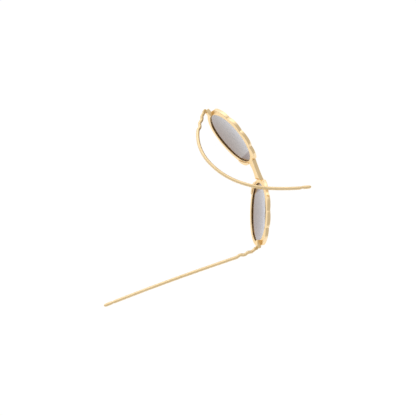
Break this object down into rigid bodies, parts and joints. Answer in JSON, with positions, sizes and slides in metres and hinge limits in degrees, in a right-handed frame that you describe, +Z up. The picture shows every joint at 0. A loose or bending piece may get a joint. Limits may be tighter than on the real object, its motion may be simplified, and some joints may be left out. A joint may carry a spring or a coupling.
{
  "type": "baby sunglasses",
  "caption": "Small gold wire sunglasses with scalloped brow rims, dark curved lenses and springy arms that turn on screw hinges.",
  "frame": {"origin": "under the middle of the whole, on the surface that the rims and the open arm's tip stand on", "axes": "+Z up, +Y from the front to the back of the wearer's head, +X to the wearer's left"},
  "size_m": [0.1052, 0.1528, 0.0496],
  "materials": {
    "frame_metal": "satin gold plating",
    "arm_metal": "polished gold plating",
    "lens": "dark tinted, polished",
    "fastener": "dull gold"
  },
  "bodies": {
    "front": {"rim_left": "frame_metal", "rim_right": "frame_metal", "lens_left": "lens", "lens_right": "lens", "bridge": "frame_metal", "end_piece_left": "frame_metal", "end_piece_right": "frame_metal", "end_pin_left": "fastener", "end_pin_right": "fastener", "hinge_screw_left": "fastener", "hinge_screw_right": "fastener", "nose_pad_left": "frame_metal", "nose_pad_right": "frame_metal", "pad_pin_left": "fastener", "pad_pin_right": "fastener"},
    "left_arm": {"arm_eye_left": "arm_metal", "arm_left": "arm_metal", "arm_tip_left": "arm_metal"},
    "right_arm": {"arm_eye_right": "arm_metal", "arm_right": "arm_metal", "arm_tip_right": "arm_metal"}
  },
  "joints": [
    {"name": "left_arm_fold", "type": "hinge", "parent": "front", "child": "left_arm", "pos_m": [0.05132, -0.03185, 0.02461], "axis": [0, 0, 1], "range_deg": [-45, 0]},
    {"name": "right_arm_fold", "type": "hinge", "parent": "front", "child": "right_arm", "pos_m": [-0.05005, -0.03185, 0.02461], "axis": [0, 0, -1], "range_deg": [0, 90]}
  ]
}
